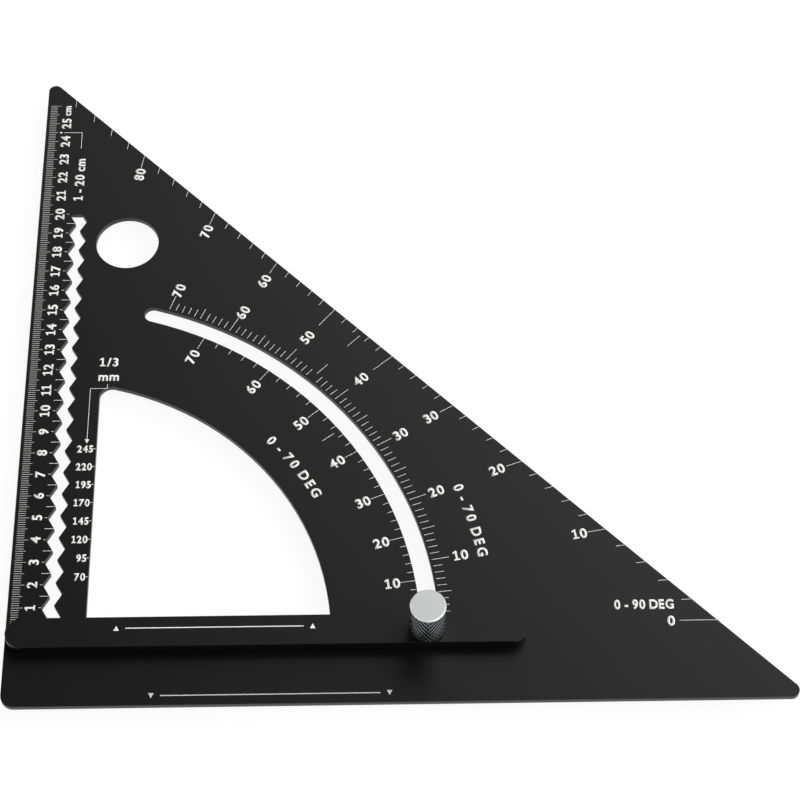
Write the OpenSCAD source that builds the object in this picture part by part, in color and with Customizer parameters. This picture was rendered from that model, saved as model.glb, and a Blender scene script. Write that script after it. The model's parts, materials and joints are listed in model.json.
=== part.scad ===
// Rafter square: a flat triangular blade with a swinging fence that is clamped
// through an arc slot by a knurled knob. Millimetres, blade lying flat, +Z up.
// The origin is under the middle of the blade, on the face that the fence rests on.

/* [Blade] */
// Length of each leg, measured over the rounded tips
leg_l = 303.5; // [280:0.5:360]
// Thickness of the blade
blade_t = 2.6; // [2:0.1:5]
// Radius of the square corner
heel_r = 5; // [1:0.5:12]
// Radius of the two 45 degree tips
tip_r = 3; // [1:0.5:6]

/* [Hang hole] */
// Diameter of the round hole
hole_d = 26.6; // [12:0.2:30]
// Distance of its centre from the ruler edge
hole_x = 38.7; // [36:0.1:48]
// Height of its centre above the base edge
hole_y = 216.3; // [208:0.1:222]

/* [Window] */
// Distance of the window's straight side from the ruler edge
window_x = 30.7; // [26:0.1:50]
// Height of the window's lower side above the pivot axis
window_rise = 3.3; // [-3:0.1:12]
// Radius of the window's curved side about the pivot
window_r = 118.4; // [90:0.1:124]
// Radius in the window's corners
window_corner_r = 5; // [2:0.5:9]

/* [Notched slot] */
// Height of the ruler's zero, where the notches start, above the base edge
rule_zero = 31.8; // [28:0.1:36]
// Distance from one notch to the next
notch_pitch = 10; // [8:0.5:10.5]
// Number of notches
notch_count = 20; // [4:1:20]
// Distance of the notch points from the ruler edge
notch_x = 13.1; // [12:0.1:16]
// Slope of the notch sides against the ruler edge
notch_slope = 30; // [15:1:32]
// Width of the slot, along the base
notch_w = 4.9; // [3.5:0.1:6]
// How much higher the far side's notches sit
notch_shift = 0.9; // [0:0.1:1.5]

/* [Fence] */
// Height of the pivot axis above the base edge
pivot_y = 28.5; // [20:0.1:32]
// Width of both fence bars
bar_w = 12.5; // [11:0.1:18]
// Thickness of each bar
bar_t = 5; // [4.4:0.1:10]
// Length of the bars from the pivot axis to the free end
bar_l = 193.6; // [175:0.1:220]
// Corner radius at the free end
bar_corner_r = 5; // [1:0.1:5.4]
// Bevel on the long edges of the bars
bar_bevel = 0.4; // [0.1:0.1:0.8]
// Gap between each bar and the blade
bar_gap = 0.2; // [0.1:0.05:0.4]
// How far the bars' round end stands back from the ruler edge
end_inset = 0.65; // [0:0.05:1]

/* [Pivot] */
// Thread diameter of the pivot screw
pivot_screw_d = 4; // [3:0.5:4]
// Diameter of the countersunk head
pivot_head_d = 8; // [7:0.5:8.5]
// Size of the screw's hexagon socket, across the flats
key_af = 2.5; // [2:0.1:3]
// Depth of that socket
key_depth = 1.4; // [1:0.1:1.6]
// Depth of the screw in the front bar
pivot_thread_l = 3; // [2:0.1:3.2]
// Outer diameter of the bush that the blade turns on
bush_d = 7; // [6:0.1:8]
// Outer diameter of the friction washers
pad_d = 10; // [9.5:0.1:10.5]
// Thickness of the friction washers
pad_t = 0.5; // [0.45:0.05:0.8]

/* [Clamp] */
// Thread diameter of the clamp bolt
stud_d = 4; // [3:0.5:5]
// Distance of the clamp bolt from the pivot axis
stud_reach = 155.4; // [140:0.1:160]
// Gap between the bolt and the slot's inner side
slot_side_gap = 0.2; // [0.1:0.1:1]
// Spare width of the slot beyond the bolt's diameter
slot_play = 3.2; // [1.5:0.1:4]
// Swing of the fence from one end of the slot to the other
swing = 73.6; // [45:0.1:74]
// Width of the bolt's hexagon head across the flats
head_af = 7; // [6.5:0.1:8.5]
// Height of the bolt's head
head_h = 2.8; // [2:0.1:2.9]
// Length of thread inside the knob
stud_grip = 13.5; // [8:0.5:14]
// Outer diameter of the knob's washer
knob_washer_d = 9; // [8:0.1:12]
// Thickness of the knob's washer
knob_washer_t = 0.8; // [0.5:0.1:1.5]

/* [Knob] */
// Diameter over the knurl
knob_d = 13.8; // [12:0.1:20]
// Height of the knob
knob_h = 17.9; // [17:0.1:24]
// Depth of the threaded hole in the knob
knob_bore_l = 15.3; // [14.5:0.1:15.5]
// Number of knurl diamonds around the knob
knurl_count = 24; // [16:1:40]
// Height of one knurl diamond
knurl_pitch = 3.1; // [2:0.1:5]
// Depth of the knurl
knurl_depth = 0.45; // [0.1:0.05:0.5]
// Height of the plain band at the top
knob_band = 0.8; // [0.6:0.1:2]
// Height of the plain foot
knob_foot = 0.3; // [0.2:0.1:1]
// Bevel of the top band, and setback of the foot
knob_bevel = 0.5; // [0.2:0.1:0.6]

/* [Fits] */
// Radial running clearance of the blade on its bush
run_fit = 0.05; // [0.02:0.01:0.1]
// Radial clearance of a thread in its tapped hole
thread_fit = 0.05; // [0.02:0.01:0.1]
// Radial clearance of a screw or bolt in a plain hole
hole_fit = 0.15; // [0.1:0.05:0.3]
// Diametral clearance of a friction washer in its seat and on the bush
pad_fit = 0.2; // [0.1:0.05:0.3]
// Gap between the friction washers and the blade
pad_run = 0.05; // [0.02:0.01:0.08]
// Depth of the screw and bolt heads below the rear face
head_sink = 0.2; // [0.1:0.05:0.4]

/* [Hidden] */
$fn = 96;
// How far a cutter runs past the face that it cuts
past = 1;
// How far a rounding circle runs past the side that it blends into
tangent_lap = 0.01;

// Heights of the stack, from the rear bar's outer face upwards
blade_z = bar_t + bar_gap;
blade_top = blade_z + blade_t;
front_z = blade_top + bar_gap;
front_top = front_z + bar_t;
knob_z = front_top + knob_washer_t;

// Plan positions, from the blade's square corner
pivot_x = bar_w / 2 + end_inset;
pivot = [pivot_x, pivot_y];
leg = leg_l + tip_r * sqrt(2);
tip_far = leg - tip_r * (1 + sqrt(2));

// Slot sizes that follow from the bolt
slot_w = stud_d + slot_play;
slot_in_r = stud_reach - stud_d / 2 - slot_side_gap;
slot_mid_r = slot_in_r + slot_w / 2;

// Seats of the friction washers
pad_seat = pad_t + pad_run - bar_gap;
pad_rear_z = bar_t - pad_seat;
pad_front_z = front_z + pad_seat - pad_t;

notch_depth = notch_pitch / 2 * tan(notch_slope);
head_cone_h = (pivot_head_d - pivot_screw_d) / 2;
screw_tip = front_z + pad_seat + pivot_thread_l;

black = [0.13, 0.13, 0.135];
alloy = [0.78, 0.78, 0.77];
steel = [0.6, 0.61, 0.63];
nylon = [0.9, 0.89, 0.85];

// Moves a piece drawn from the blade's corner into the part's frame
module placed() {
  translate([-leg_l / 2, -leg_l / 2, 0]) children();
}

// Moves a piece drawn about the pivot axis, with the fence along +X, to its place
module at_pivot() {
  placed() translate([pivot_x, pivot_y, 0]) children();
}

module at_stud() {
  at_pivot() translate([stud_reach, 0, 0]) children();
}

// A hexagonal prism, its flats facing along Y
module hexagon_bar(af, h) {
  cylinder(h = h, d = af / cos(30), $fn = 6);
}

module ring(od, id, h) {
  difference() {
    cylinder(h = h, d = od);
    translate([0, 0, -past]) cylinder(h = h + 2 * past, d = id);
  }
}

// Right triangle with rounded corners, tangent by tangent
module triangle_outline() {
  nose = tip_r / sqrt(2);
  polygon([[heel_r, 0], [tip_far, 0], [tip_far + nose, tip_r + nose],
           [tip_r + nose, tip_far + nose], [0, tip_far], [0, heel_r]]);
  translate([heel_r, heel_r]) circle(heel_r);
  translate([tip_far, tip_r]) circle(tip_r);
  translate([tip_r, tip_far]) circle(tip_r);
}

// What a round corner leaves to be filled, between two directions from its centre
module corner_fill(centre, side_a, side_b) {
  reach = 3 * window_corner_r;
  difference() {
    polygon([centre, centre + reach * side_a, centre + reach * (side_a + side_b),
             centre + reach * side_b]);
    translate(centre) circle(window_corner_r + tangent_lap);
  }
}

// Quarter-round window: an upright side, a level side and an arc about the pivot
module window_outline() {
  r = window_corner_r;
  low = pivot_y + window_rise;
  inner = window_r - r;
  left_x = window_x + r;
  low_y = low + r;
  top = [left_x, pivot_y + sqrt(inner * inner - pow(left_x - pivot_x, 2))];
  right = [pivot_x + sqrt(inner * inner - pow(low_y - pivot_y, 2)), low_y];
  difference() {
    intersection() {
      translate(pivot) circle(window_r, $fn = 180);
      translate([window_x, low]) square(window_r);
    }
    corner_fill([left_x, low_y], [-1, 0], [0, -1]);
    corner_fill(top, [-1, 0], (top - pivot) / inner);
    corner_fill(right, [0, -1], (right - pivot) / inner);
  }
}

// Zigzag slot whose near side has a notch point at each mark of the ruler
module notch_outline() {
  half = notch_pitch / 2;
  last = 2 * notch_count + 1;
  near = [for (i = [-1 : last])
    [notch_x + (i % 2 == 0 ? 0 : notch_depth), rule_zero + i * half]];
  far = [for (i = [last : -1 : -1]) near[i + 1] + [notch_w, notch_shift]];
  intersection() {
    polygon(concat(near, far));
    translate([0, rule_zero]) square([2 * notch_x + notch_w, notch_count * notch_pitch]);
  }
}

// Arc slot about the pivot, with round ends
module slot_outline() {
  reach = slot_in_r + slot_w + past;
  wedge = reach / cos(swing / 2);
  translate(pivot) intersection() {
    difference() {
      circle(slot_in_r + slot_w, $fn = 180);
      circle(slot_in_r, $fn = 180);
    }
    union() {
      polygon([[0, 0], [wedge, 0], wedge * [cos(swing / 2), sin(swing / 2)] / cos(swing / 2),
               wedge * [cos(swing), sin(swing)]]);
      for (a = [0, swing]) rotate(a) translate([slot_mid_r, 0]) circle(slot_w / 2 + tangent_lap);
    }
  }
}

module blade() {
  color(black) placed() translate([0, 0, blade_z]) linear_extrude(blade_t) difference() {
    triangle_outline();
    window_outline();
    notch_outline();
    slot_outline();
    translate([hole_x, hole_y]) circle(d = hole_d);
    translate(pivot) circle(d = bush_d + 2 * run_fit);
  }
}

// Half of a bevelled bar section, from its middle out to its side
function half_section(side) =
  [[0, 0], [side - bar_bevel, 0], [side, bar_bevel], [side, bar_t - bar_bevel],
   [side - bar_bevel, bar_t], [0, bar_t]];

// The full bevelled section, side to side
function full_section(side) =
  concat([for (p = half_section(side)) if (p[0] > 0) p],
         [for (i = [4 : -1 : 1]) let (p = half_section(side)[i]) [-p[0], p[1]]]);

// One fence bar, standing on Z = 0: round about the pivot, rounded corners at the free end
module bar_blank() {
  side = bar_w / 2;
  corner = [bar_l - bar_corner_r, side - bar_corner_r];
  rotate_extrude() polygon(half_section(side));
  rotate([90, 0, 90]) linear_extrude(corner[0]) polygon(full_section(side));
  for (s = [-1, 1]) translate([corner[0], s * corner[1], 0])
    rotate_extrude() polygon(half_section(bar_corner_r));
  translate([corner[0], corner[1], 0]) rotate([90, 0, 0])
    linear_extrude(2 * corner[1]) polygon(half_section(bar_corner_r));
}

// Shallow seat for a friction washer in the bar's inner face
module pad_pocket() {
  cylinder(h = pad_seat + past, d = pad_d + pad_fit);
}

module front_fence() {
  color(black) at_pivot() difference() {
    translate([0, 0, front_z]) bar_blank();
    for (x = [0, stud_reach]) translate([x, 0, front_z - past]) pad_pocket();
    cylinder(h = screw_tip + head_sink, d = pivot_screw_d + 2 * thread_fit);
    translate([stud_reach, 0, 0]) cylinder(h = front_top + past, d = stud_d + 2 * hole_fit);
  }
}

module rear_fence() {
  mouth_d = pivot_head_d + 2 * (hole_fit + head_sink);
  color(black) at_pivot() difference() {
    bar_blank();
    for (x = [0, stud_reach]) translate([x, 0, pad_rear_z]) pad_pocket();
    translate([0, 0, -past]) cylinder(h = bar_t + 2 * past, d = pivot_screw_d + 2 * hole_fit);
    cylinder(h = mouth_d / 2, d1 = mouth_d, d2 = 0);
    translate([stud_reach, 0, -past]) {
      cylinder(h = bar_t + 2 * past, d = stud_d + 2 * hole_fit);
      hexagon_bar(head_af + hole_fit, past + head_sink + head_h);
    }
  }
}

// Sleeve clamped between the bars, on which the blade turns
module pivot_bush() {
  color(steel) at_pivot() translate([0, 0, pad_rear_z])
    ring(bush_d, pivot_screw_d + 2 * hole_fit, front_z + pad_seat - pad_rear_z);
}

// Countersunk socket screw from the rear into the front bar
module pivot_screw() {
  color(steel) at_pivot() difference() {
    union() {
      translate([0, 0, head_sink]) cylinder(h = screw_tip - head_sink, d = pivot_screw_d);
      translate([0, 0, head_sink]) cylinder(h = head_cone_h, d1 = pivot_head_d, d2 = pivot_screw_d);
    }
    hexagon_bar(key_af, head_sink + key_depth);
  }
}

module pivot_washer_front() {
  color(nylon) at_pivot() translate([0, 0, pad_front_z]) ring(pad_d, bush_d + pad_fit, pad_t);
}

module pivot_washer_rear() {
  color(nylon) at_pivot() translate([0, 0, pad_rear_z]) ring(pad_d, bush_d + pad_fit, pad_t);
}

// Hexagon bolt held in the rear bar's pocket, standing up through the slot
module clamp_bolt() {
  color(steel) at_stud() translate([0, 0, head_sink]) {
    hexagon_bar(head_af, head_h);
    cylinder(h = knob_z + stud_grip - head_sink, d = stud_d);
  }
}

module clamp_washer_front() {
  color(nylon) at_stud() translate([0, 0, pad_front_z]) ring(pad_d, stud_d + 2 * hole_fit, pad_t);
}

module clamp_washer_rear() {
  color(nylon) at_stud() translate([0, 0, pad_rear_z]) ring(pad_d, stud_d + 2 * hole_fit, pad_t);
}

module knob_washer() {
  color(steel) at_stud() translate([0, 0, front_top])
    ring(knob_washer_d, stud_d + 2 * hole_fit, knob_washer_t);
}

// Diamond-knurled blank: pyramids on a staggered grid, on a plain foot and under a bevelled band
module knurled_blank() {
  r = knob_d / 2;
  root_r = r - knurl_depth;
  cols = 2 * knurl_count;
  rows = round(2 * (knob_h - knob_foot - knob_band) / knurl_pitch);
  step = (knob_h - knob_foot - knob_band) / rows;
  // Each ring has its height and the radii of its even and odd points
  foot = [[0, r - knob_bevel, r - knob_bevel]];
  knurl = [for (j = [0 : rows]) let (edge = j == 0 || j == rows)
    [knob_foot + j * step, edge || j % 2 == 1 ? root_r : r, edge || j % 2 == 0 ? root_r : r]];
  head = [[knob_h - knob_bevel, r, r], [knob_h, r - knob_bevel, r - knob_bevel]];
  rings = concat(foot, knurl, head);
  top = len(rings) - 1;
  points = [for (g = rings, i = [0 : cols - 1]) let (a = 360 * i / cols, rr = g[1 + i % 2])
    [rr * cos(a), rr * sin(a), g[0]]];
  // Every cell is split between its two low points
  sides = [for (j = [0 : top - 1], i = [0 : cols - 1]) let (
      k = (i + 1) % cols,
      a = j * cols + i,
      b = j * cols + k,
      c = (j + 1) * cols + k,
      d = (j + 1) * cols + i)
    each (i + j) % 2 == 0 ? [[a, d, b], [c, b, d]] : [[b, a, c], [d, c, a]]];
  ends = [[for (i = [0 : cols - 1]) i],
          [for (i = [cols - 1 : -1 : 0]) top * cols + i]];
  polyhedron(points, concat(sides, ends));
}

module clamp_knob() {
  color(alloy) at_stud() translate([0, 0, knob_z]) difference() {
    knurled_blank();
    translate([0, 0, -past]) cylinder(h = knob_bore_l + past, d = stud_d + 2 * thread_fit);
  }
}

blade();
front_fence();
rear_fence();
pivot_bush();
pivot_screw();
pivot_washer_front();
pivot_washer_rear();
clamp_bolt();
clamp_washer_front();
clamp_washer_rear();
knob_washer();
clamp_knob();
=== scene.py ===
import json
import math

import bmesh
import bpy
from mathutils import Matrix, Vector


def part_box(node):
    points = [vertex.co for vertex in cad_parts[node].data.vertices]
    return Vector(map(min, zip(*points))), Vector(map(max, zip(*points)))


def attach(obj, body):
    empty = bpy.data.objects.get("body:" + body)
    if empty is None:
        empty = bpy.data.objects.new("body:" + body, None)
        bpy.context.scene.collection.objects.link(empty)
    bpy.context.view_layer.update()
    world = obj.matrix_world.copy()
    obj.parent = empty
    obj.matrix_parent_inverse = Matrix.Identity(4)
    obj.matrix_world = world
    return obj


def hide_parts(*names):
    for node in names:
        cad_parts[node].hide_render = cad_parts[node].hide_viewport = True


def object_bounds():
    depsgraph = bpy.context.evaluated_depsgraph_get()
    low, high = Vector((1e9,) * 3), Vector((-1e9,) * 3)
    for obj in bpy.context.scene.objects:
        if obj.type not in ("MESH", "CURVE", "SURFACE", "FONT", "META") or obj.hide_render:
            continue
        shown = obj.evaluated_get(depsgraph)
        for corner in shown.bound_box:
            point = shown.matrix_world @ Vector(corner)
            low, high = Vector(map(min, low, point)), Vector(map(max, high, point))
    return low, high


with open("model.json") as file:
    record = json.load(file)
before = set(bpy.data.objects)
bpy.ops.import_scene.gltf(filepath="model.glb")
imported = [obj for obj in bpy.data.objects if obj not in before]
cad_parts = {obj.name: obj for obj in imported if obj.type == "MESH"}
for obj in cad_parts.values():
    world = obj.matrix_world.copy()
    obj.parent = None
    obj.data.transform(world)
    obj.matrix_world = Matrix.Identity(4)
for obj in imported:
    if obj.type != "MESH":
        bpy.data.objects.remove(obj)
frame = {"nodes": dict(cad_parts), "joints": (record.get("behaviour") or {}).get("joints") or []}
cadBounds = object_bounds()
print("frame loaded:", len(frame["nodes"]), "nodes")

scene = bpy.context.scene
scene.view_settings.view_transform = "Standard"

mm = 0.001
weldGap = 0.002 * mm    # points closer than this are one point
levelGap = 0.01 * mm    # heights closer than this are one level
facingUp = 0.9          # faces whose normals rise more than this look up

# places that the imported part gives
jointPlaces = {joint["name"]: Vector(joint["pos_m"]) for joint in frame["joints"] if "pos_m" in joint}
pivot = jointPlaces["fence_swing"]
stud = jointPlaces["knob_turn"]
bladeLow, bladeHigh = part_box("blade")
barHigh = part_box("front_fence")[1]
corner = Vector((bladeLow.x, bladeLow.y, 0))   # the square corner


# millimetres from the square corner to a place on the blade's scale side
def onBlade(x, y):
    return corner + Vector((x * mm, y * mm, bladeHigh.z))


# the same on the front bar's upper face
def onFence(x, y):
    return corner + Vector((x * mm, y * mm, barHigh.z))


# an sRGB hex colour as a linear one
def toLinear(hexColour):
    parts = [int(hexColour[i:i + 2], 16) / 255 for i in (1, 3, 5)]
    return [p / 12.92 if p <= 0.04045 else ((p + 0.055) / 1.055) ** 2.4 for p in parts] + [1]


maths, vectorMaths = "ShaderNodeMath", "ShaderNodeVectorMath"


# adds one node: settings are its properties, feeds fill its inputs by name or in order
# a feed is a plain value, a socket, or a node, which gives its first working output
def addNode(tree, kind, feeds=(), **settings):
    node = tree.nodes.new(kind)
    for key, value in settings.items():
        setattr(node, key, value)
    named = feeds if isinstance(feeds, dict) else dict(enumerate(feeds))
    for socket, source in named.items():
        if isinstance(source, bpy.types.Node):
            source = next(output for output in source.outputs if output.enabled)
        if isinstance(source, bpy.types.NodeSocket):
            tree.links.new(source, node.inputs[socket])
        else:
            node.inputs[socket].default_value = source
    return node


def newMaterial(name):
    material = bpy.data.materials.new(name)
    material.use_nodes = True
    tree = material.node_tree
    tree.nodes.clear()
    place = addNode(tree, "ShaderNodeTexCoord").outputs["Object"]
    return material, tree, place


def endMaterial(tree, feeds):
    shader = addNode(tree, "ShaderNodeBsdfPrincipled", feeds)
    addNode(tree, "ShaderNodeOutputMaterial", {"Surface": shader})


blackFinish = {
    "colour": "#030303",
    "lighter": "#060606",
    "roughness": 0.38,
    "roughnessSpread": 0.05,
    "grainMm": 0.35,       # the blasted grain is nearer 0.05 mm, drawn coarser so that it shows
    "grainDepth": 0.02,
    "grainStrength": 0.15,
    "cloudMm": 18,
}


# black anodised aluminium, blasted matt before dyeing: an even near-black with a soft sheen
def makeBlackAnodised(s):
    material, tree, place = newMaterial("anodisedAluminiumBlack")
    cloud = addNode(tree, "ShaderNodeTexNoise", {
        "Vector": place, "Scale": 1 / (s["cloudMm"] * mm), "Detail": 3})
    grain = addNode(tree, "ShaderNodeTexNoise", {
        "Vector": place, "Scale": 1 / (s["grainMm"] * mm), "Detail": 2})
    colour = addNode(tree, "ShaderNodeMix", {
        "Factor": cloud, "A": toLinear(s["colour"]), "B": toLinear(s["lighter"])}, data_type="RGBA")
    rough = addNode(tree, "ShaderNodeMapRange", {
        "Value": grain,
        "To Min": s["roughness"] - s["roughnessSpread"],
        "To Max": s["roughness"] + s["roughnessSpread"]})
    bump = addNode(tree, "ShaderNodeBump", {
        "Height": grain, "Strength": s["grainStrength"], "Distance": s["grainDepth"] * mm})
    endMaterial(tree, {"Base Color": colour, "Roughness": rough, "Normal": bump})
    return material


waveSpacing = math.pi / 10   # from ring to ring in the wave texture at a scale of one
alloyFinish = {
    "facedAluminium": {"colour": "#f6f7f7", "roughness": 0.44},
    "knurledAluminiumShaded": {"colour": "#999b9d", "roughness": 0.2},   # rolled: smoother; its darker colour is painted shade of the knurl's grooves, the metal being the same
    "roughnessSpread": 0.05,
    "hazeMm": 1.2,
    "ringMm": 0.45,        # turning marks are nearer 0.1 mm apart, drawn coarser so that they show
    "ringDepth": 0.002,
    "ringStrength": 0.2,
}


# bare turned aluminium: pale grey metal with fine rings round the knob's axis
def makeTurnedAlloy(s, name):
    material, tree, place = newMaterial(name)
    own = s[name]
    centred = addNode(tree, "ShaderNodeMapping", {"Vector": place, "Location": -stud})
    rings = addNode(tree, "ShaderNodeTexWave", {
        "Vector": centred, "Scale": waveSpacing / (s["ringMm"] * mm), "Detail": 0},
        wave_type="RINGS", rings_direction="Z")
    haze = addNode(tree, "ShaderNodeTexNoise", {
        "Vector": place, "Scale": 1 / (s["hazeMm"] * mm), "Detail": 3})
    rough = addNode(tree, "ShaderNodeMapRange", {
        "Value": haze,
        "To Min": own["roughness"] - s["roughnessSpread"],
        "To Max": own["roughness"] + s["roughnessSpread"]})
    bump = addNode(tree, "ShaderNodeBump", {
        "Height": rings.outputs["Fac"], "Strength": s["ringStrength"], "Distance": s["ringDepth"] * mm})
    endMaterial(tree, {
        "Base Color": toLinear(own["colour"]), "Metallic": 1, "Roughness": rough, "Normal": bump})
    return material


steelFinish = {
    "colour": "#b4b7bd",
    "tint": "#a9a69a",
    "roughness": 0.32,
    "roughnessSpread": 0.08,
    "speckMm": 0.8,
}


# zinc-plated steel: a bluish grey metal, slightly uneven in tint and gloss
def makeZincSteel(s):
    material, tree, place = newMaterial("zincPlatedSteel")
    speck = addNode(tree, "ShaderNodeTexNoise", {
        "Vector": place, "Scale": 1 / (s["speckMm"] * mm), "Detail": 4})
    colour = addNode(tree, "ShaderNodeMix", {
        "Factor": speck, "A": toLinear(s["colour"]), "B": toLinear(s["tint"])}, data_type="RGBA")
    rough = addNode(tree, "ShaderNodeMapRange", {
        "Value": speck,
        "To Min": s["roughness"] - s["roughnessSpread"],
        "To Max": s["roughness"] + s["roughnessSpread"]})
    endMaterial(tree, {"Base Color": colour, "Metallic": 1, "Roughness": rough})
    return material


nylonFinish = {"colour": "#e4e1d7", "shade": "#d6d2c5", "roughness": 0.48, "ior": 1.53, "flowMm": 2.5}


# natural nylon, punched from sheet: a waxy off-white
def makeNylon(s):
    material, tree, place = newMaterial("naturalNylon")
    flow = addNode(tree, "ShaderNodeTexNoise", {
        "Vector": place, "Scale": 1 / (s["flowMm"] * mm), "Detail": 2})
    colour = addNode(tree, "ShaderNodeMix", {
        "Factor": flow, "A": toLinear(s["colour"]), "B": toLinear(s["shade"])}, data_type="RGBA")
    endMaterial(tree, {"Base Color": colour, "Roughness": s["roughness"], "IOR": s["ior"]})
    return material


inkFinish = {"white": "#fafaf8", "grey": "#cfcfce", "roughness": 0.6, "roughnessSpread": 0.1, "mottleMm": 0.5}


# screen-printed two-part ink: flat, slightly mottled in gloss, laid thinly over the anodising
def makeInk(s, name, colourName):
    material, tree, place = newMaterial(name)
    mottle = addNode(tree, "ShaderNodeTexNoise", {
        "Vector": place, "Scale": 1 / (s["mottleMm"] * mm), "Detail": 2})
    rough = addNode(tree, "ShaderNodeMapRange", {
        "Value": mottle,
        "To Min": s["roughness"] - s["roughnessSpread"],
        "To Max": s["roughness"] + s["roughnessSpread"]})
    endMaterial(tree, {"Base Color": toLinear(s[colourName]), "Roughness": rough})
    return material


blackAnodised = makeBlackAnodised(blackFinish)
facedAlloy = makeTurnedAlloy(alloyFinish, "facedAluminium")
# the knurled copy is the same aluminium, its colour darkened as painted shade in the grooves
shadedKnurledAlloy = makeTurnedAlloy(alloyFinish, "knurledAluminiumShaded")
zincSteel = makeZincSteel(steelFinish)
nylon = makeNylon(nylonFinish)
whiteInk = makeInk(inkFinish, "printedInkWhite", "white")
greyInk = makeInk(inkFinish, "printedInkGrey", "grey")
print("materials made")


def addPiece(name, mesh, body, slot, *replaced):
    piece = bpy.data.objects.new(name, mesh)
    scene.collection.objects.link(piece)
    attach(piece, body)
    if replaced:
        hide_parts(*replaced)


# evaluates an object and returns its result as a plain mesh; the object is removed
def toMesh(source, name):
    scene.collection.objects.link(source)
    bpy.context.view_layer.update()
    graph = bpy.context.evaluated_depsgraph_get()
    mesh = bpy.data.meshes.new_from_object(source.evaluated_get(graph))
    mesh.name = name
    bpy.data.objects.remove(source)
    return mesh


# turns a bmesh into a mesh, of one material where it is given
def finishShape(shape, name, material=None):
    mesh = bpy.data.meshes.new(name)
    shape.to_mesh(mesh)
    shape.free()
    if material:
        mesh.materials.append(material)
    return mesh


def joinMeshes(name, meshes, material):
    shape = bmesh.new()
    for mesh in meshes:
        shape.from_mesh(mesh)
        bpy.data.meshes.remove(mesh)
    return finishShape(shape, name, material)


socketKinds = {int: "NodeSocketInt", float: "NodeSocketFloat", Vector: "NodeSocketVector",
               bpy.types.Material: "NodeSocketMaterial"}


# starts a node tree whose named inputs come from one dictionary of example values
def newTree(name, values):
    tree = bpy.data.node_groups.new(name, "GeometryNodeTree")
    tree.interface.new_socket("Geometry", in_out="INPUT", socket_type="NodeSocketGeometry")
    for label, value in values.items():
        tree.interface.new_socket(label, in_out="INPUT", socket_type=socketKinds[type(value)])
    tree.interface.new_socket("Geometry", in_out="OUTPUT", socket_type="NodeSocketGeometry")
    return tree, addNode(tree, "NodeGroupInput").outputs


def endTree(tree, given, geometry):
    real = addNode(tree, "GeometryNodeRealizeInstances", {"Geometry": geometry})
    finish = addNode(tree, "GeometryNodeSetMaterial", {"Geometry": real, "Material": given["Material"]})
    addNode(tree, "NodeGroupOutput", {"Geometry": finish})


# runs a tree over a base mesh with its named inputs and returns the plain mesh
def runTree(tree, values, name, base=None):
    carrier = bpy.data.objects.new(name, base or bpy.data.meshes.new(name))
    modifier = carrier.modifiers.new("nodes", "NODES")
    modifier.node_group = tree
    for item in tree.interface.items_tree:
        if item.in_out == "INPUT" and item.name in values:
            modifier[item.identifier] = values[item.name]
    return toMesh(carrier, name)


# blade plate: the solid's own outline, with its edges broken; sizes here and below are millimetres
plateLook = {"edge": 0.1, "edgeSteps": 2, "sharpAngle": 30}


# closed outlines of a node's upper face, in millimetres
def upperOutlines(node):
    shape = bmesh.new()
    shape.from_mesh(frame["nodes"][node].data)
    bmesh.ops.remove_doubles(shape, verts=shape.verts, dist=weldGap)
    top = max(v.co.z for v in shape.verts)
    upper = [f for f in shape.faces
             if f.normal.z > facingUp and abs(f.calc_center_median().z - top) < levelGap]
    known = set(upper)
    following = {}
    for face in upper:
        for loop in face.loops:
            if not any(other.face in known for other in loop.edge.link_loops if other.face != face):
                following[loop.vert.index] = loop.link_loop_next.vert.index
    shape.verts.ensure_lookup_table()
    outlines = []
    while following:
        start, nextOne = following.popitem()
        ring = [start]
        while nextOne != start:
            ring.append(nextOne)
            nextOne = following.pop(nextOne)
        outlines.append([shape.verts[i].co / mm for i in ring])
    shape.free()
    return outlines


def makePlate(s):
    thickness = (bladeHigh.z - bladeLow.z) / mm
    curve = bpy.data.curves.new("bladeOutline", "CURVE")
    curve.dimensions = "2D"
    curve.fill_mode = "BOTH"
    curve.bevel_depth = s["edge"]
    curve.bevel_resolution = s["edgeSteps"]
    curve.offset = -s["edge"]
    curve.extrude = thickness / 2 - s["edge"]
    for outline in upperOutlines("blade"):
        spline = curve.splines.new("POLY")
        spline.points.add(len(outline) - 1)
        spline.use_cyclic_u = True
        for point, place in zip(spline.points, outline):
            point.co = (place.x, place.y, 0, 1)
    mesh = toMesh(bpy.data.objects.new("bladeOutline", curve), "bladePlate")
    middle = (bladeHigh.z + bladeLow.z) / 2
    mesh.transform(Matrix.Translation((0, 0, middle)) @ Matrix.Scale(mm, 4))
    mesh.materials.clear()
    mesh.materials.append(blackAnodised)
    mesh.set_sharp_from_angle(angle=math.radians(s["sharpAngle"]))
    return mesh


addPiece("BladePlate", makePlate(plateLook), "blade", "anodised_black", "blade")

# front bar: the solid's own shape, its upper bevel drawn in to a broken edge
barLook = {"solidBevel": 0.4, "edge": 0.1}


def makeFrontBar(s):
    shape = bmesh.new()
    shape.from_mesh(frame["nodes"]["front_fence"].data)
    bmesh.ops.remove_doubles(shape, verts=shape.verts, dist=weldGap)
    sideTop = barHigh.z - s["solidBevel"] * mm
    sides = [v for v in shape.verts if abs(v.co.z - sideTop) < levelGap]
    nearest = {}   # each point of the upper rim, with the side's point next to it
    for vert in sides:
        for rim in (edge.other_vert(vert) for edge in vert.link_edges):
            gap = (rim.co - vert.co).xy.length
            if abs(rim.co.z - barHigh.z) < levelGap and (rim not in nearest or gap < nearest[rim][0]):
                nearest[rim] = (gap, vert.co.copy())
    kept = s["edge"] / s["solidBevel"]
    for rim, (_, side) in nearest.items():
        rim.co.xy = side.xy.lerp(rim.co.xy, kept)
    for vert in sides:
        vert.co.z = barHigh.z - s["edge"] * mm
    return finishShape(shape, "frontBar", blackAnodised)


addPiece("FrontBar", makeFrontBar(barLook), "fence", "anodised_black", "front_fence")
print("blade plate and front bar made")

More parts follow.
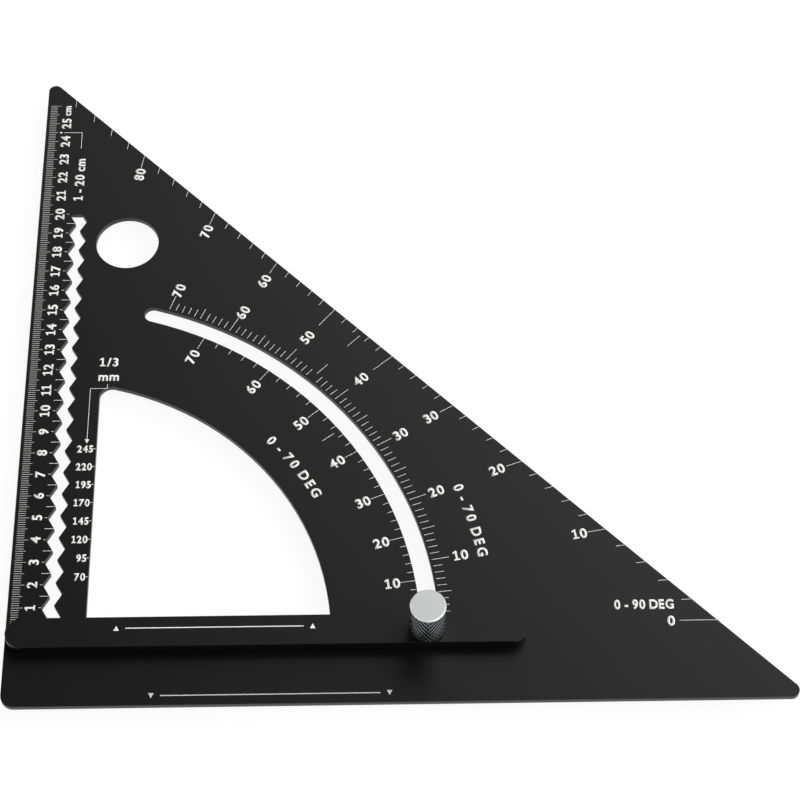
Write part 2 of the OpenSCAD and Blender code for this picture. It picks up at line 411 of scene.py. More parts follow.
inkFilm = 0.02 * mm     # thickness of all printed marks
inkWeld = 0.0005 * mm   # points of a print closer than this are one point

# inputs that straight rows and fans of marks share
markInputs = {
    "Count": 1, "First Number": 0, "Short": 1.0, "Middle": 1.0, "Long": 1.0,
    "Middle Every": 5, "Long Every": 10, "Line Width": 1.0, "Film": 1.0, "Material": whiteInk}


# end of each mark by its number: every so many are longer
def markEnd(tree, given):
    index = addNode(tree, "GeometryNodeInputIndex")
    number = addNode(tree, maths, (index, given["First Number"]), operation="ADD")
    end = given["Short"]
    for every, longer in (("Middle Every", "Middle"), ("Long Every", "Long")):
        rest = addNode(tree, maths, (number, given[every]), operation="MODULO")
        hit = addNode(tree, maths, (rest, 0.5), operation="LESS_THAN")
        end = addNode(tree, "GeometryNodeSwitch", {
            "Switch": hit, "False": end, "True": given[longer]}, input_type="FLOAT")
    return end


# a bar one unit long, wide and high, standing on its near end
def unitBar(tree):
    cube = addNode(tree, "GeometryNodeMeshCube", {"Size": (1, 1, 1)})
    return addNode(tree, "GeometryNodeTransform", {"Geometry": cube, "Translation": (0.5, 0, 0.5)})


# marks in a straight row up the blade, each running along +X
def makeRuleTree():
    tree, given = newTree("ruleMarks", {"Start": Vector(), "Pitch": 1.0, **markInputs})
    step = addNode(tree, "ShaderNodeCombineXYZ", {"Y": given["Pitch"]})
    row = addNode(tree, "GeometryNodeMeshLine", {
        "Count": given["Count"], "Start Location": given["Start"], "Offset": step})
    size = addNode(tree, "ShaderNodeCombineXYZ", {
        "X": markEnd(tree, given), "Y": given["Line Width"], "Z": given["Film"]})
    marks = addNode(tree, "GeometryNodeInstanceOnPoints", {
        "Points": row, "Instance": unitBar(tree), "Scale": size})
    endTree(tree, given, marks)
    return tree


fanInputs = {
    "Centre": Vector(), "Arc Shift": Vector(), "First Angle": 1.0, "Angle Step": 1.0,
    "Tangent Ratio": 1.0, "Straight Edge": 1.0, "Start": 1.0, **markInputs}


# marks along rays from a centre, ending on arcs or on a straight 45 degree edge
def makeFanTree():
    tree, given = newTree("fanMarks", fanInputs)
    index = addNode(tree, "GeometryNodeInputIndex")
    degrees = addNode(tree, maths, (index, given["Angle Step"], given["First Angle"]),
                      operation="MULTIPLY_ADD")
    labelled = addNode(tree, maths, (degrees,), operation="RADIANS")
    tangent = addNode(tree, maths, (labelled,), operation="TANGENT")
    drawn = addNode(tree, maths, (tangent, given["Tangent Ratio"]), operation="MULTIPLY")
    angle = addNode(tree, maths, (drawn,), operation="ARCTANGENT")
    across = addNode(tree, maths, (angle,), operation="COSINE")
    up = addNode(tree, maths, (angle,), operation="SINE")
    ray = addNode(tree, "ShaderNodeCombineXYZ", {"X": across, "Y": up})
    shift = addNode(tree, vectorMaths, (ray, given["Arc Shift"]), operation="DOT_PRODUCT")
    spread = addNode(tree, maths, (across, up), operation="ADD")
    excess = addNode(tree, maths, (spread, 1.0), operation="SUBTRACT")
    divisor = addNode(tree, maths, (excess, given["Straight Edge"], 1.0), operation="MULTIPLY_ADD")
    ends = []
    for end in (given["Start"], markEnd(tree, given)):
        shifted = addNode(tree, maths, (end, shift), operation="ADD")
        ends.append(addNode(tree, maths, (shifted, divisor), operation="DIVIDE"))
    nearEnd = addNode(tree, maths, ends, operation="MINIMUM")
    difference = addNode(tree, maths, ends, operation="SUBTRACT")
    length = addNode(tree, maths, (difference,), operation="ABSOLUTE")
    reached = addNode(tree, vectorMaths, {0: ray, "Scale": nearEnd}, operation="SCALE")
    place = addNode(tree, vectorMaths, (reached, given["Centre"]), operation="ADD")
    row = addNode(tree, "GeometryNodeMeshLine", {"Count": given["Count"]})
    points = addNode(tree, "GeometryNodeSetPosition", {"Geometry": row, "Position": place})
    size = addNode(tree, "ShaderNodeCombineXYZ", {"X": length, "Y": given["Line Width"], "Z": given["Film"]})
    turn = addNode(tree, "ShaderNodeCombineXYZ", {"Z": angle})
    marks = addNode(tree, "GeometryNodeInstanceOnPoints", {
        "Points": points, "Instance": unitBar(tree), "Rotation": turn, "Scale": size})
    endTree(tree, given, marks)
    return tree


# a run's values for the shared inputs: its ends are for the short, middle and long marks
def markValues(s, lineWidth):
    short, middle, long = (end * mm for end in s["ends"])
    middleEvery, longEvery = s.get("every", (1, 1))
    return {"Count": s["count"], "Short": short, "Middle": middle, "Long": long,
            "Middle Every": middleEvery, "Long Every": longEvery,
            "Line Width": lineWidth * mm, "Film": inkFilm, "Material": whiteInk}


ruleTree = makeRuleTree()
fanTree = makeFanTree()

# straight rows, in millimetres from the square corner
ruleZero = 31.8
depthParts = 3   # units of the depth scale in a millimetre
ruleMarks = {
    "RulerMarks": [
        {"x": 1.45, "first": 0, "pitch": 1, "count": 261, "ends": (3.05, 4.0, 4.55), "every": (5, 10),
         "width": 0.135}],
    "NotchMarks": [
        {"x": 12.1, "first": 10, "pitch": 10, "count": 20, "ends": (0.9,) * 3, "width": 0.2},
        {"x": 12.2, "first": 15, "pitch": 10, "count": 19, "ends": (3.5,) * 3, "width": 0.2}],
    "DepthMarks": [
        {"x": 29.4, "first": 70 / depthParts, "pitch": 25 / depthParts, "count": 8, "ends": (1.1,) * 3,
         "width": 0.2}],
}
for name, rows in ruleMarks.items():
    meshes = [runTree(ruleTree, {
        "Start": onBlade(s["x"], ruleZero + s["first"]), "Pitch": s["pitch"] * mm, "First Number": 0,
        **markValues(s, s["width"])}, name) for s in rows]
    addPiece(name, joinMeshes(name, meshes, whiteInk), "blade", "anodised_black")

# angle scales: the two curved ones share a centre and have reaches from the pivot, the straight one
# has a centre of its own
angleScales = {"arcCentre": (3.68, 32.3), "slopeCentre": (3.47, 32.86), "tipRadius": 3,
               "lineWidth": 0.18, "labelShift": 1.3}
scaleCentre = onBlade(*angleScales["arcCentre"])
slopeCentre = onBlade(*angleScales["slopeCentre"])
arcShift = Vector((pivot.x - scaleCentre.x, pivot.y - scaleCentre.y, 0))
sharpLeg = (bladeHigh.x - bladeLow.x) / mm + angleScales["tipRadius"] * math.sqrt(2)
slopeReach = sharpLeg - sum(angleScales["slopeCentre"])


# reach of a line that lies so far inside the sloping edge
def insideSlope(depth):
    return slopeReach - depth * math.sqrt(2)


# depths of the straight scale's ends; the deep marks go on from the tens, a hair apart
slopeDepths = {"edge": 0.15, "short": 3.0, "tens": 6.2, "deepStart": 6.22, "deep": 10.4,
               "halfwayStart": 2.1, "halfway": 9.5}
slopeEnds = {key: insideSlope(depth) for key, depth in slopeDepths.items()}
hipRatio = 1 / math.sqrt(2)
pitchRun = {"step": 1, "start": 161.2, "ends": (164.9, 166.4, 168.2), "every": (5, 10)}
fanMarks = {
    "SlopeMarks": [
        {"first": 0, "step": 2, "count": 45, "straight": 1, "start": slopeEnds["edge"], "every": (5, 5),
         "ends": (slopeEnds["short"], slopeEnds["tens"], slopeEnds["tens"])},
        {"first": 0, "step": 40, "count": 2, "straight": 1, "start": slopeEnds["deepStart"],
         "ends": (slopeEnds["deep"],) * 3},
        {"first": 50, "step": 1, "count": 1, "straight": 1, "start": slopeEnds["deepStart"],
         "ends": (slopeEnds["deep"],) * 3},
        {"first": 45, "step": 1, "count": 1, "straight": 1, "start": slopeEnds["halfwayStart"],
         "ends": (slopeEnds["halfway"],) * 3}],
    "PitchMarks": [
        {"first": 0, "count": 45, **pitchRun},
        {"first": 46, "count": 25, **pitchRun},
        {"first": 45, "step": 1, "count": 1, "start": 164.7, "ends": (170.9,) * 3}],
    "HipMarks": [
        {"first": 0, "step": 2, "count": 36, "start": 153.0, "ends": (150.6, 147.1, 147.1), "every": (5, 5),
         "ratio": hipRatio},
        {"first": 45, "step": 1, "count": 1, "start": 150.3, "ends": (144.3,) * 3, "ratio": hipRatio}],
}
for name, runs in fanMarks.items():
    meshes = []
    for s in runs:
        straight = float(s.get("straight", 0))
        meshes.append(runTree(fanTree, {
            "Centre": slopeCentre if straight else scaleCentre, "Arc Shift": arcShift * (1 - straight),
            "First Number": round(s["first"] / s["step"]), "First Angle": float(s["first"]),
            "Angle Step": float(s["step"]), "Tangent Ratio": s.get("ratio", 1.0), "Straight Edge": straight,
            "Start": s["start"] * mm, **markValues(s, angleScales["lineWidth"])}, name))
    addPiece(name, joinMeshes(name, meshes, whiteInk), "blade", "anodised_black")
print("scale marks made")

# figures: the built-in typeface, thickened, with a footed one; sizes are parts of a digit's height
figureLook = {"weight": 0.033, "curveSteps": 4, "digitAtSizeOne": 0.729, "middle": 0.468,
              "gap": 0.11, "space": 0.35,
              "one": [(0.02, 0), (0.58, 0), (0.58, 0.15), (0.39, 0.15), (0.39, 1.0), (0.25, 1.0), (0.0, 0.86),
                      (0.0, 0.7), (0.2, 0.78), (0.2, 0.15), (0.02, 0.15)]}
glyphs = {}


# a flat character whose left side is at zero and whose digit height is one, with its width
def glyph(character):
    if character not in glyphs:
        shape = bmesh.new()
        if character == "1":
            shape.faces.new([shape.verts.new((x, y, 0)) for x, y in figureLook["one"]])
        else:
            text = bpy.data.curves.new("character", "FONT")
            text.body = "6" if character == "9" else character   # the nine is a six turned half round
            text.offset = figureLook["weight"]
            text.resolution_u = figureLook["curveSteps"]
            mesh = toMesh(bpy.data.objects.new("character", text), "character")
            mesh.transform(Matrix.Scale(1 / figureLook["digitAtSizeOne"], 4))
            shape.from_mesh(mesh)
            bpy.data.meshes.remove(mesh)
        if character == "9":
            bmesh.ops.rotate(shape, verts=shape.verts, cent=(0, figureLook["middle"], 0),
                             matrix=Matrix.Rotation(math.pi, 3, "Z"))
        left = min(v.co.x for v in shape.verts)
        bmesh.ops.translate(shape, verts=shape.verts, vec=(-left, 0, 0))
        width = max(v.co.x for v in shape.verts)
        glyphs[character] = (finishShape(shape, "character"), width)
    return glyphs[character]


# places of a label's characters along its line, centred, in parts of the digit height
def spacedOut(words):
    run = []
    reach = 0
    for character in words:
        if character == " ":
            reach += figureLook["space"]
            continue
        mesh, width = glyph(character)
        run.append((mesh, reach, width))
        reach += width + figureLook["gap"]
    total = reach - figureLook["gap"]
    return [(mesh, start - total / 2, width) for mesh, start, width in run], total


def turned(place, degrees):
    return Matrix.Translation(place) @ Matrix.Rotation(math.radians(degrees), 4, "Z")


halfDigit = 0.5   # labels are centred on half their digits' height


# a label on a straight line, centred on its place
def straightLabel(words, height, place, degrees, stretch=1.0):
    size = Matrix.Diagonal((height * mm * stretch, height * mm, 1, 1))
    return [(mesh, turned(place, degrees) @ size @ Matrix.Translation((start, -halfDigit, 0)))
            for mesh, start, _ in spacedOut(words)[0]]


# a label that runs clockwise round a centre, its tops outwards
def arcLabel(words, height, centre, radius, degrees, spread=1.0):
    placed = []
    for mesh, start, width in spacedOut(words)[0]:
        angle = math.radians(degrees) - (start + width / 2) * height * spread / radius
        place = centre + Vector((math.cos(angle), math.sin(angle), 0)) * radius * mm
        size = Matrix.Diagonal((height * mm, height * mm, 1, 1))
        placed.append((mesh, turned(place, math.degrees(angle) - 90) @ size
                       @ Matrix.Translation((-width / 2, -halfDigit, 0))))
    return placed


# raises flat printed shapes into closed films of ink, joined in one mesh
def inkMesh(name, labels, outlines, ink):
    shape = bmesh.new()
    for mesh, place in labels:
        known = len(shape.verts)
        shape.from_mesh(mesh)
        shape.verts.ensure_lookup_table()
        bmesh.ops.transform(shape, matrix=place, verts=shape.verts[known:])
    for outline in outlines:
        shape.faces.new([shape.verts.new(place) for place in outline])
    bmesh.ops.remove_doubles(shape, verts=shape.verts, dist=inkWeld)
    flat = list(shape.faces)
    lifted = {v: shape.verts.new(v.co + Vector((0, 0, inkFilm))) for v in list(shape.verts)}
    for face in flat:
        added = [shape.faces.new([lifted[v] for v in face.verts])]
        for loop in face.loops:
            if loop.edge.is_boundary:
                near, far = loop.vert, loop.link_loop_next.vert
                added.append(shape.faces.new((near, far, lifted[far], lifted[near])))
        for newFace in added:
            newFace.smooth = face.smooth
    bmesh.ops.recalc_face_normals(shape, faces=shape.faces)
    return finishShape(shape, name, ink)


# outline of a mitred line through the points, in millimetres
def lineOutline(points, width):
    sides = ([], [])
    for i, point in enumerate(points):
        first = max(i - 1, 0)
        runs = [(b - a).normalized() for a, b in zip(points[first:], points[first + 1:i + 2])]
        normals = [Vector((-run.y, run.x)) for run in runs]
        mitre = sum(normals, Vector((0, 0))).normalized()
        reach = width / 2 / mitre.dot(normals[0])
        sides[0].append(point + mitre * reach)
        sides[1].append(point - mitre * reach)
    return sides[1] + sides[0][::-1]


# outline of a triangle centred on its place, pointing down where its height is negative
def triangleOutline(x, y, width, height):
    return [Vector((x - width / 2, y - height / 2)), Vector((x + width / 2, y - height / 2)),
            Vector((x, y + height / 2))]


# place on a ray of the straight scale, or of a curved one, whose reach is from the pivot's arc
def onRay(degrees, reach, ratio=1.0, curved=True):
    angle = math.atan(math.tan(math.radians(degrees)) * ratio)
    ray = Vector((math.cos(angle), math.sin(angle), 0))
    reach = reach * mm + (ray.dot(arcShift) * angleScales["labelShift"] if curved else 0)
    return (scaleCentre if curved else slopeCentre) + ray * reach, math.degrees(angle)


# heights of the figures, where they stand and which there are, in millimetres
figures = {"ruler": 4.0, "rulerX": 8.75, "rulerCount": 25, "unit": 3.3, "unitY": 289.0, "angle": 4.25,
           "pitchReach": 172.05, "pitchValues": (10, 20, 30, 60, 70),
           "hipReach": 143.25, "hipValues": range(10, 80, 10),
           "depth": 3.3, "depthWidth": 0.87, "depthEnd": 29.4, "depthValues": range(70, 250, 25),
           "slopeReach": {0: 253.4, 10: 223.6, 20: 200.8, 30: 187.9, 40: 175.2, 50: 174.5, 60: 187.7,
                          70: 201.1, 80: 223.5}}
acrossBlade, upBlade = 0, 90   # directions of the labels' lines
labels = []
for value in range(1, figures["rulerCount"] + 1):
    labels += straightLabel(
        str(value), figures["ruler"], onBlade(figures["rulerX"], ruleZero + 10 * value), upBlade)
labels += straightLabel("cm", figures["unit"], onBlade(figures["rulerX"], figures["unitY"]), upBlade)
for value, reach in figures["slopeReach"].items():
    labels += straightLabel(str(value), figures["angle"], *onRay(value, reach, curved=False))
for value in figures["pitchValues"]:
    labels += straightLabel(str(value), figures["angle"], *onRay(value, figures["pitchReach"]))
for value in figures["hipValues"]:
    labels += straightLabel(str(value), figures["angle"], *onRay(value, figures["hipReach"], hipRatio))
for value in figures["depthValues"]:
    half = spacedOut(str(value))[1] * figures["depth"] * figures["depthWidth"] / 2
    place = onBlade(figures["depthEnd"] - half, ruleZero + value / depthParts)
    labels += straightLabel(str(value), figures["depth"], place, acrossBlade, figures["depthWidth"])

# plain units and ranges beside the scales
units = {"height": 4.1, "third": (33.9, 155.3), "thirdUnit": (34.0, 148.2), "slope": (246.8, 40.1),
         "slopeWidth": 0.84, "notchRange": (16.2, 250.5), "pitchArc": (181.6, 16.0), "hipArc": (129.2, 36.0),
         "spread": 1.25}
arcCentre = Vector((pivot.x, pivot.y, bladeHigh.z))
labels += straightLabel("1/3", units["height"], onBlade(*units["third"]), acrossBlade)
labels += straightLabel("mm", units["height"], onBlade(*units["thirdUnit"]), acrossBlade)
labels += straightLabel(
    "0 - 90 DEG", units["height"], onBlade(*units["slope"]), acrossBlade, units["slopeWidth"])
labels += straightLabel("1 - 20 cm", units["height"], onBlade(*units["notchRange"]), upBlade)
for arc in ("pitchArc", "hipArc"):
    labels += arcLabel("0 - 70 DEG", units["height"], arcCentre, *units[arc], units["spread"])

# leaders with their ends, in millimetres from the square corner
leaders = {"lineWidth": 0.2, "dot": (6.81, 276.7), "dotSize": 1.0, "dotSides": 12,
           "arrow": (26.75, 117.0), "arrowSize": (1.9, 1.9),
           "ruler": [(8.0, 276.7), (16.1, 276.6), (16.1, 267.8)],
           "depth": [(33.8, 144.4), (33.7, 142.3), (26.85, 142.3), (26.75, 118.0)]}
outlines = [lineOutline([Vector(p) for p in leaders[key]], leaders["lineWidth"])
            for key in ("ruler", "depth")]
arrowWide, arrowHigh = leaders["arrowSize"]
outlines.append(triangleOutline(*leaders["arrow"], arrowWide, -arrowHigh))
dotAngles = [2 * math.pi * i / leaders["dotSides"] for i in range(leaders["dotSides"])]
outlines.append([Vector(leaders["dot"]) + Vector((math.cos(a), math.sin(a))) * leaders["dotSize"] / 2
                 for a in dotAngles])
outlines = [[onBlade(p.x, p.y) for p in outline] for outline in outlines]
addPiece("BladeFigures", inkMesh("bladeFigures", labels, outlines, whiteInk), "blade", "anodised_black")

# edge pointers: two small triangles joined by a line, beside the edge they point to
pointers = {"fence": {"x": (43.2, 118.4), "y": 29.9, "size": (2.1, 2.1), "line": 0.4, "inset": 3.5, "up": 1},
            "base": {"x": (57.0, 147.5), "y": 3.9, "size": (2.1, 2.1), "line": 0.4, "inset": 3.5, "up": -1}}


def pointerOutlines(s):
    wide, high = s["size"]
    left, right = s["x"]
    result = [triangleOutline(x, s["y"], wide, high * s["up"]) for x in s["x"]]
    ends = [Vector((left + s["inset"], s["y"])), Vector((right - s["inset"], s["y"]))]
    return result + [lineOutline(ends, s["line"])]


fencePointer = [[onFence(p.x, p.y) for p in o] for o in pointerOutlines(pointers["fence"])]
basePointer = [[onBlade(p.x, p.y) for p in o] for o in pointerOutlines(pointers["base"])]
addPiece("FencePointer", inkMesh("fencePointer", [], fencePointer, whiteInk), "fence", "anodised_black")
addPiece("BasePointer", inkMesh("basePointer", [], basePointer, greyInk), "blade", "anodised_black")
for mesh, _ in glyphs.values():
    bpy.data.meshes.remove(mesh)
print("figures and pointers made")

grooveInputs = {
    "Axis": Vector(), "Columns": 8, "Rows": 8, "Column Turns": 1.0, "Row Turns": 1.0, "Row Height": 1.0,
    "Root Radius": 1.0, "Depth": 1.0, "Crest": 1.0, "Crossed": 1.0, "Material": shadedKnurledAlloy}


# a round surface cut by one or two families of slanting grooves, joined to the base mesh
def makeGrooveTree():
    tree, given = newTree("slantingGrooves", grooveInputs)
    acrossCount = addNode(tree, maths, (given["Columns"], 1.0), operation="ADD")
    upCount = addNode(tree, maths, (given["Rows"], 1.0), operation="ADD")
    grid = addNode(tree, "GeometryNodeMeshGrid", {
        "Size X": given["Columns"], "Size Y": given["Rows"],
        "Vertices X": acrossCount, "Vertices Y": upCount})
    position = addNode(tree, "GeometryNodeInputPosition")
    place = addNode(tree, "ShaderNodeSeparateXYZ", (position,)).outputs
    row = addNode(tree, maths, (given["Rows"], 0.5, place["Y"]), operation="MULTIPLY_ADD")
    column = addNode(tree, maths, (given["Columns"], 0.5, place["X"]), operation="MULTIPLY_ADD")
    # the columns lean, so that edges run along the grooves
    column = addNode(tree, maths, (row, 0.5, column), operation="MULTIPLY_ADD")
    along = addNode(tree, maths, (column, given["Column Turns"]), operation="MULTIPLY")
    up = addNode(tree, maths, (row, given["Row Turns"]), operation="MULTIPLY")
    families = []
    for slant in ("ADD", "SUBTRACT"):
        phase = addNode(tree, maths, (along, up), operation=slant)
        families.append(addNode(tree, maths, (phase, 0.5), operation="PINGPONG"))
    single = addNode(tree, maths, (1.0, given["Crossed"]), operation="SUBTRACT")
    families[1] = addNode(tree, maths, (families[1], single), operation="MAXIMUM")
    lower = addNode(tree, maths, families, operation="MINIMUM")
    steepness = addNode(tree, maths, (given["Crest"], 2.0), operation="MULTIPLY")
    height = addNode(tree, maths, (lower, steepness), operation="MULTIPLY")
    rowsAbove = addNode(tree, maths, (given["Rows"], row), operation="SUBTRACT")
    for limit in (1.0, row, rowsAbove):   # flat crests, which fade out at both ends
        height = addNode(tree, maths, (height, limit), operation="MINIMUM")
    radius = addNode(tree, maths, (height, given["Depth"], given["Root Radius"]), operation="MULTIPLY_ADD")
    turns = addNode(tree, maths, (column, 2 * math.pi), operation="MULTIPLY")
    angle = addNode(tree, maths, (turns, given["Columns"]), operation="DIVIDE")
    wrapped = {"Z": addNode(tree, maths, (row, given["Row Height"]), operation="MULTIPLY")}
    for axis, wave in (("X", "COSINE"), ("Y", "SINE")):
        part = addNode(tree, maths, (angle,), operation=wave)
        wrapped[axis] = addNode(tree, maths, (radius, part), operation="MULTIPLY")
    wrapped = addNode(tree, "ShaderNodeCombineXYZ", wrapped)
    moved = addNode(tree, vectorMaths, (wrapped, given["Axis"]), operation="ADD")
    surface = addNode(tree, "GeometryNodeSetPosition", {"Geometry": grid, "Position": moved})
    split = addNode(tree, "GeometryNodeTriangulate", {"Mesh": surface})
    both = addNode(tree, "GeometryNodeJoinGeometry", {"Geometry": given["Geometry"]})
    tree.links.new(split.outputs["Mesh"], both.inputs["Geometry"])
    welded = addNode(tree, "GeometryNodeMergeByDistance", {"Geometry": both, "Distance": weldGap})
    endTree(tree, given, welded)
    return tree


grooveTree = makeGrooveTree()


# rings of turned profiles about an axis: each entry is a radius, a height and, for flats, how many
def lathe(name, axis, profiles, columns):
    shape = bmesh.new()
    for profile in profiles:
        rings = []
        for radius, height, *flats in profile:
            ring = []
            for i in range(columns if radius > 0 else 1):
                angle = 2 * math.pi * i / columns
                reach = radius
                if flats:
                    side = 2 * math.pi / flats[0]
                    reach = radius / math.cos((angle % side) - side / 2)
                ring.append(shape.verts.new(axis + Vector((
                    reach * math.cos(angle), reach * math.sin(angle), height)) * mm))
            rings.append(ring)
        for low, high in zip(rings, rings[1:]):
            for i in range(columns):
                k = (i + 1) % columns
                corners = [low[i % len(low)], low[k % len(low)], high[k % len(high)], high[i % len(high)]]
                shape.faces.new(list(dict.fromkeys(corners)))
    return finishShape(shape, name)


# clamp knob: a turned blank with a bevelled top over a diamond knurl that runs down to its foot
knobLow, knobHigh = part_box("clamp_knob")
knobLook = {"rim": 0.45, "rimSlope": 52, "band": 0.7, "foot": 0.2, "footSetback": 0.35, "depth": 0.16,
            "teeth": 24, "cells": 8, "halfDiamonds": 11, "crest": 4.0,
            "boreD": 4.1, "boreDepth": 15.3, "boreChamfer": 0.3}


def makeKnob(s):
    radius = (knobHigh.x - knobLow.x) / 2 / mm
    tall = (knobHigh.z - knobLow.z) / mm
    root = radius - s["depth"]
    columns = s["teeth"] * s["cells"]
    knurled = tall - s["foot"] - s["band"]
    rows = s["halfDiamonds"] * s["cells"]
    rimDrop = s["rim"] * math.tan(math.radians(s["rimSlope"]))
    bore = s["boreD"] / 2
    foot = [(0, s["boreDepth"]), (bore, s["boreDepth"]), (bore, s["boreChamfer"]),
            (bore + s["boreChamfer"], 0), (radius - s["footSetback"], 0), (root, s["foot"])]
    head = [(root, tall - s["band"]), (radius, tall - rimDrop), (radius - s["rim"], tall),
            (radius / 2, tall), (0, tall)]
    axis = Vector((stud.x, stud.y, knobLow.z))
    base = lathe("knobEnds", axis, [foot, head], columns)
    mesh = runTree(grooveTree, {
        "Axis": axis + Vector((0, 0, s["foot"] * mm)), "Columns": columns, "Rows": rows,
        "Column Turns": 1 / s["cells"], "Row Turns": 0.5 / s["cells"], "Row Height": knurled / rows * mm,
        "Root Radius": root * mm, "Depth": s["depth"] * mm, "Crest": s["crest"], "Crossed": 1.0,
        "Material": shadedKnurledAlloy}, "clampKnob", base)
    mesh.materials.append(facedAlloy)
    facedFrom = knobHigh.z - rimDrop * mm
    for face in mesh.polygons:
        if face.center.z > facedFrom:
            face.material_index = len(mesh.materials) - 1
    return mesh


addPiece("ClampKnob", makeKnob(knobLook), "knob", "turned_alloy", "clamp_knob")

# clamp bolt: hexagon head in the rear bar's pocket, right-hand thread up into the knob
boltLow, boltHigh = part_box("clamp_bolt")
boltLook = {"headHeight": 2.8, "acrossFlats": 7, "flats": 6, "headChamfer": 0.35, "threadD": 4, "pitch": 0.7,
            "depth": 0.4, "columns": 48, "rowsPerTurn": 8, "runOut": 0.5, "crest": 1.15}


def makeBolt(s):
    tall = (boltHigh.z - boltLow.z) / mm
    root = s["threadD"] / 2 - s["depth"]
    flat = s["acrossFlats"] / 2
    threadStart = s["headHeight"] + s["runOut"]
    threadLength = tall - threadStart - s["runOut"]
    rows = 2 * round(threadLength / s["pitch"] * s["rowsPerTurn"] / 2)   # even, so that the lean closes
    head = [(0, 0), (flat - s["headChamfer"], 0), (flat, s["headChamfer"], s["flats"]),
            (flat, s["headHeight"], s["flats"]), (root, s["headHeight"]), (root, threadStart)]
    tip = [(root, tall - s["runOut"]), (root - s["runOut"] / 2, tall), (0, tall)]
    axis = Vector((stud.x, stud.y, boltLow.z))
    base = lathe("boltEnds", axis, [head, tip], s["columns"])
    return runTree(grooveTree, {
        "Axis": axis + Vector((0, 0, threadStart * mm)), "Columns": s["columns"], "Rows": rows,
        "Column Turns": 1 / s["columns"], "Row Turns": -1 / s["rowsPerTurn"],
        "Row Height": threadLength / rows * mm, "Root Radius": root * mm, "Depth": s["depth"] * mm,
        "Crest": s["crest"], "Crossed": 0.0, "Material": zincSteel}, "clampBolt", base)


addPiece("ClampBolt", makeBolt(boltLook), "fence", "zinc_steel", "clamp_bolt")
print("knob and bolt made")

# carried-over pieces take their finishes
cadFinishes = {
    "rear_fence": blackAnodised,
    "pivot_bush": zincSteel, "pivot_screw": zincSteel, "knob_washer": zincSteel,
    "pivot_washer_front": nylon, "pivot_washer_rear": nylon,
    "clamp_washer_front": nylon, "clamp_washer_rear": nylon,
}
for node, finish in cadFinishes.items():
    for materialSlot in frame["nodes"][node].material_slots:
        materialSlot.material = finish
print("carried-over pieces finished")

# studio: a pale floor, a soft light behind and to the right, and a bright horizon all round
studio = {"floorSize": 6, "floorColour": "#585858", "floorGlow": 0.92, "floorRoughness": 0.9,
          "floorGap": 0.02, "skyTilt": (5.7, 1.5, 0), "frontLevel": 0.3, "skyRange": (0.03, 2.5),
          "skyFade": (0.745, 0.96), "skyFoot": (0.15, 0.45), "horizonGlow": 1.2, "horizonHeight": 0.35}
fillLamp = {"place": (-0.15, -0.4, 1.2), "size": 0.8, "power": 3.0}   # lights the ink, shows no glare
white = (1, 1, 1, 1)


def makeFloor(s):
    mesh = bpy.data.meshes.new("floor")
    half = s["floorSize"] / 2
    level = cadBounds[0][2] - s["floorGap"] * mm
    mesh.from_pydata([(-half, -half, level), (half, -half, level), (half, half, level), (-half, half, level)],
                     [], [(0, 1, 2, 3)])
    floor = bpy.data.objects.new("floor", mesh)
    scene.collection.objects.link(floor)
    material, tree, _ = newMaterial("paperSweep")   # matt white paper, lit evenly
    rays = addNode(tree, "ShaderNodeLightPath").outputs
    seen = rays["Is Camera Ray"]
    for ray in ("Is Glossy Ray", "Is Transmission Ray"):
        seen = addNode(tree, maths, (seen, rays[ray]), operation="MAXIMUM")
    glow = addNode(tree, maths, (seen, s["floorGlow"]), operation="MULTIPLY")
    endMaterial(tree, {
        "Base Color": toLinear(s["floorColour"]), "Roughness": s["floorRoughness"],
        "Emission Color": white, "Emission Strength": glow})
    mesh.materials.append(material)


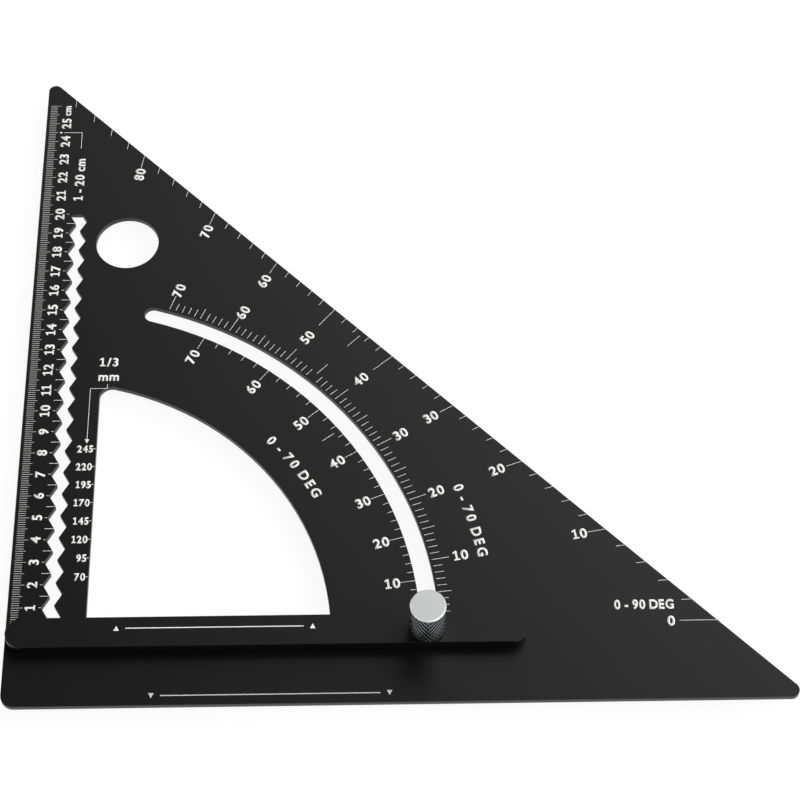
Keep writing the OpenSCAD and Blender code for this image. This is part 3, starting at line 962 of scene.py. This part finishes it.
def makeSky(s):
    world = bpy.data.worlds.new("studioSky")
    world.use_nodes = True
    tree = world.node_tree
    tree.nodes.clear()
    seen = addNode(tree, "ShaderNodeLightPath").outputs["Is Camera Ray"]
    direction = addNode(tree, "ShaderNodeTexCoord").outputs["Generated"]
    parts = addNode(tree, "ShaderNodeSeparateXYZ", (direction,)).outputs
    rise = parts["Z"]
    tilted = addNode(tree, vectorMaths, (direction, s["skyTilt"]), operation="DOT_PRODUCT")
    foot = addNode(tree, "ShaderNodeMapRange", {
        "Value": rise, "From Min": s["skyFoot"][0], "From Max": s["skyFoot"][1]},
        interpolation_type="SMOOTHSTEP")
    tilted = addNode(tree, maths, (tilted, foot), operation="MULTIPLY")
    front = addNode(tree, maths, (parts["Y"], -s["frontLevel"]), operation="MULTIPLY")
    level = addNode(tree, maths, (tilted, front), operation="MAXIMUM")
    level = addNode(tree, "ShaderNodeClamp", {
        "Value": level, "Min": s["skyRange"][0], "Max": s["skyRange"][1]})
    fade = addNode(tree, "ShaderNodeMapRange", {
        "Value": rise, "From Min": s["skyFade"][0], "From Max": s["skyFade"][1],
        "To Min": 1.0, "To Max": 0.0}, interpolation_type="SMOOTHSTEP")
    level = addNode(tree, maths, (level, fade), operation="MULTIPLY")
    glow = addNode(tree, "ShaderNodeMapRange", {
        "Value": rise, "From Min": 0.0, "From Max": s["horizonHeight"],
        "To Min": s["horizonGlow"], "To Max": 0.0})
    level = addNode(tree, maths, (level, glow), operation="ADD")
    strength = addNode(tree, maths, (level, seen), operation="MAXIMUM")
    sky = addNode(tree, "ShaderNodeBackground", {"Color": white, "Strength": strength})
    addNode(tree, "ShaderNodeOutputWorld", {"Surface": sky})
    scene.world = world


def makeLamp(s):
    light = bpy.data.lights.new("fillLamp", "AREA")
    light.shape = "DISK"
    light.size = s["size"]
    light.energy = s["power"]
    lamp = bpy.data.objects.new("fillLamp", light)
    lamp.location = s["place"]
    lamp.visible_glossy = False
    lamp.rotation_euler = (-Vector(s["place"])).to_track_quat("-Z", "Y").to_euler()
    scene.collection.objects.link(lamp)


makeFloor(studio)
makeSky(studio)
makeLamp(fillLamp)

# camera of the photograph's view: lengths in millimetres, roll in degrees
cameraView = {"place": (-13.32, -520.17, 805.34), "target": (2.09, -16.69, 7.8), "roll": 0.826,
              "lens": 103.57, "sensor": 36, "nearest": 10}


def makeCamera(s):
    lens = bpy.data.cameras.new("camera")
    lens.lens = s["lens"]
    lens.sensor_width = s["sensor"]
    lens.clip_start = s["nearest"] * mm
    camera = bpy.data.objects.new("camera", lens)
    place = Vector(s["place"]) * mm
    look = (Vector(s["target"]) * mm - place).to_track_quat("-Z", "Y").to_matrix().to_4x4()
    camera.matrix_world = Matrix.Translation(place) @ look @ Matrix.Rotation(math.radians(s["roll"]), 4, "Z")
    scene.collection.objects.link(camera)
    scene.camera = camera


makeCamera(cameraView)
print("studio and camera set")
